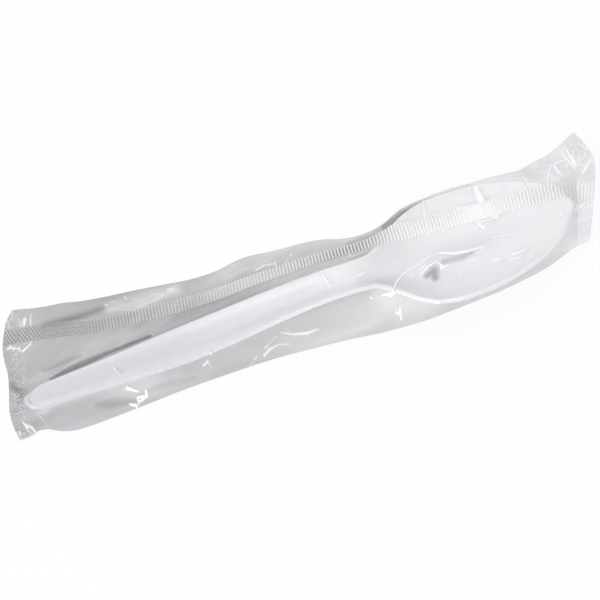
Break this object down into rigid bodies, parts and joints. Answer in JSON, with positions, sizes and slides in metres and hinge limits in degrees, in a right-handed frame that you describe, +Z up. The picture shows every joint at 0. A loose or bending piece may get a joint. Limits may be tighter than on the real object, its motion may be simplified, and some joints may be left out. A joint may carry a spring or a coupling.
{
  "type": "wrapped teaspoon",
  "caption": "Disposable plastic teaspoon with a channelled handle and an egg-shaped bowl, lying face up in a sealed clear film pouch with crimped ends and a ribbed fin seal.",
  "frame": {"origin": "middle of the whole object's box, on the table under it", "axes": "+X along the spoon from the handle's tip to the bowl's nose, +Z up from the table"},
  "size_m": [0.169, 0.0458, 0.0122],
  "materials": {
    "white_plastic": "smooth injection-moulded, slightly glossy",
    "clear_film": "clear glossy film, creased, with pressed ribs along its seals"
  },
  "bodies": {
    "root": {"spoon": "white_plastic", "film_wrapper": "clear_film"}
  },
  "joints": []
}
